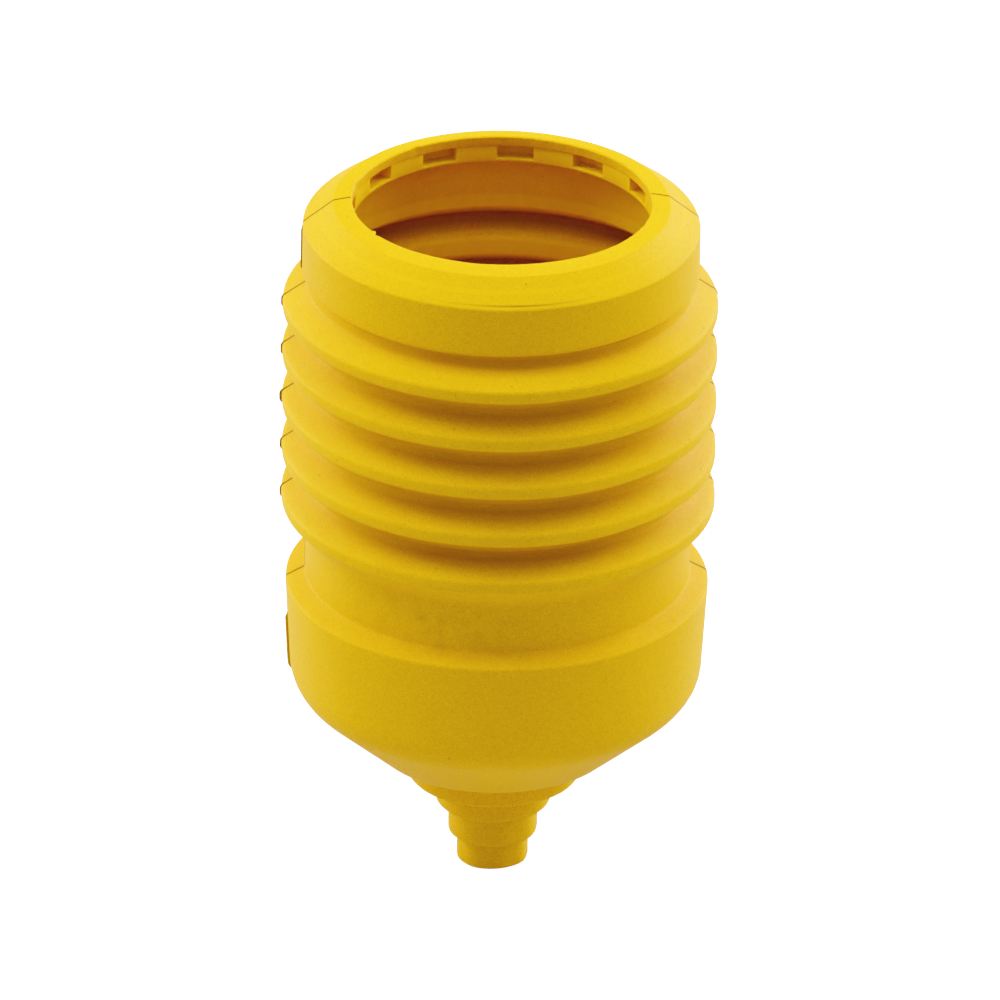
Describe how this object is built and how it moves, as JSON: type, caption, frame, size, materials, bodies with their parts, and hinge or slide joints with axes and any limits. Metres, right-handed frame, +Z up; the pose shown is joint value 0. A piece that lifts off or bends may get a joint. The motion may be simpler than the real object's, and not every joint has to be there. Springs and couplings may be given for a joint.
{
  "type": "plug bellows boot",
  "caption": "Weatherproof rubber boot for an electrical plug: inward-lipped mouth with a castellated grip ring, accordion bellows, waist, stepped cup, funnel and trim-to-fit cable sleeve.",
  "frame": {"origin": "centre of the cable sleeve's bottom edge, on the boot's axis", "axes": "+Z up the boot's axis, from the cable sleeve to the mouth; the mould's parting plane is the XZ plane"},
  "size_m": [0.0728, 0.0728, 0.1229],
  "materials": {
    "rubber": "matte"
  },
  "bodies": {
    "cup": {"waist": "rubber", "cup_shoulder": "rubber", "cup_wall": "rubber", "funnel": "rubber", "sleeve_step_1": "rubber"},
    "crest_5": {"crest_5": "rubber"},
    "groove_5": {"groove_5": "rubber"},
    "crest_4": {"crest_4": "rubber"},
    "groove_4": {"groove_4": "rubber"},
    "crest_3": {"crest_3": "rubber"},
    "groove_3": {"groove_3": "rubber"},
    "crest_2": {"crest_2": "rubber"},
    "groove_2": {"groove_2": "rubber"},
    "crest_1": {"crest_1": "rubber"},
    "mouth": {"groove_1": "rubber", "collar_band": "rubber", "collar_shoulder": "rubber", "mouth_lip": "rubber", "grip_ring": "rubber"},
    "sleeve_2": {"sleeve_step_2": "rubber"},
    "sleeve_3": {"sleeve_step_3": "rubber"},
    "sleeve_4": {"sleeve_step_4": "rubber"}
  },
  "joints": [
    {"name": "squeeze_5", "type": "slide", "parent": "cup", "child": "crest_5", "axis": [0, 0, -1], "range_m": [-0.0008, 0.0022], "stiffness_N_per_m": 800, "deforming": ["crest_5"]},
    {"name": "bend_5", "type": "hinge", "parent": "crest_5", "child": "groove_5", "pos_m": [0, 0, 0.07284], "axis": [0, 1, 0], "range_deg": [-3.5, 3.5], "stiffness_Nm_per_rad": 0.4, "deforming": ["groove_5"]},
    {"name": "squeeze_4", "type": "slide", "parent": "groove_5", "child": "crest_4", "axis": [0, 0, -1], "range_m": [-0.0008, 0.0022], "stiffness_N_per_m": 800, "deforming": ["crest_4"]},
    {"name": "bend_4", "type": "hinge", "parent": "crest_4", "child": "groove_4", "pos_m": [0, 0, 0.08172], "axis": [1, 0, 0], "range_deg": [-3.5, 3.5], "stiffness_Nm_per_rad": 0.4, "deforming": ["groove_4"]},
    {"name": "squeeze_3", "type": "slide", "parent": "groove_4", "child": "crest_3", "axis": [0, 0, -1], "range_m": [-0.0008, 0.0022], "stiffness_N_per_m": 800, "deforming": ["crest_3"]},
    {"name": "bend_3", "type": "hinge", "parent": "crest_3", "child": "groove_3", "pos_m": [0, 0, 0.0906], "axis": [0, 1, 0], "range_deg": [-3.5, 3.5], "stiffness_Nm_per_rad": 0.4, "deforming": ["groove_3"]},
    {"name": "squeeze_2", "type": "slide", "parent": "groove_3", "child": "crest_2", "axis": [0, 0, -1], "range_m": [-0.0008, 0.0022], "stiffness_N_per_m": 800, "deforming": ["crest_2"]},
    {"name": "bend_2", "type": "hinge", "parent": "crest_2", "child": "groove_2", "pos_m": [0, 0, 0.09948], "axis": [1, 0, 0], "range_deg": [-3.5, 3.5], "stiffness_Nm_per_rad": 0.4, "deforming": ["groove_2"]},
    {"name": "squeeze_1", "type": "slide", "parent": "groove_2", "child": "crest_1", "axis": [0, 0, -1], "range_m": [-0.0008, 0.0022], "stiffness_N_per_m": 800, "deforming": ["crest_1"]},
    {"name": "bend_1", "type": "hinge", "parent": "crest_1", "child": "mouth", "pos_m": [0, 0, 0.10815], "axis": [0, 1, 0], "range_deg": [-3.5, 3.5], "stiffness_Nm_per_rad": 0.4, "deforming": ["groove_1"]},
    {"name": "sleeve_bend_2", "type": "hinge", "parent": "cup", "child": "sleeve_2", "pos_m": [0, 0, 0.0134], "axis": [0, 1, 0], "range_deg": [-8, 8], "stiffness_Nm_per_rad": 0.001, "deforming": ["sleeve_step_2"]},
    {"name": "sleeve_bend_3", "type": "hinge", "parent": "sleeve_2", "child": "sleeve_3", "pos_m": [0, 0, 0.0078], "axis": [1, 0, 0], "range_deg": [-8, 8], "stiffness_Nm_per_rad": 0.001, "deforming": ["sleeve_step_3"]},
    {"name": "sleeve_bend_4", "type": "hinge", "parent": "sleeve_3", "child": "sleeve_4", "pos_m": [0, 0, 0.00245], "axis": [0, 1, 0], "range_deg": [-8, 8], "stiffness_Nm_per_rad": 0.001, "deforming": ["sleeve_step_4"]}
  ],
  "couplings": [
    {"joint": "squeeze_4", "follows": "squeeze_5", "ratio": 1},
    {"joint": "squeeze_3", "follows": "squeeze_5", "ratio": 1},
    {"joint": "bend_3", "follows": "bend_5", "ratio": 1},
    {"joint": "squeeze_2", "follows": "squeeze_5", "ratio": 1},
    {"joint": "bend_2", "follows": "bend_4", "ratio": 1},
    {"joint": "squeeze_1", "follows": "squeeze_5", "ratio": 1},
    {"joint": "bend_1", "follows": "bend_5", "ratio": 1},
    {"joint": "sleeve_bend_4", "follows": "sleeve_bend_2", "ratio": 1}
  ]
}
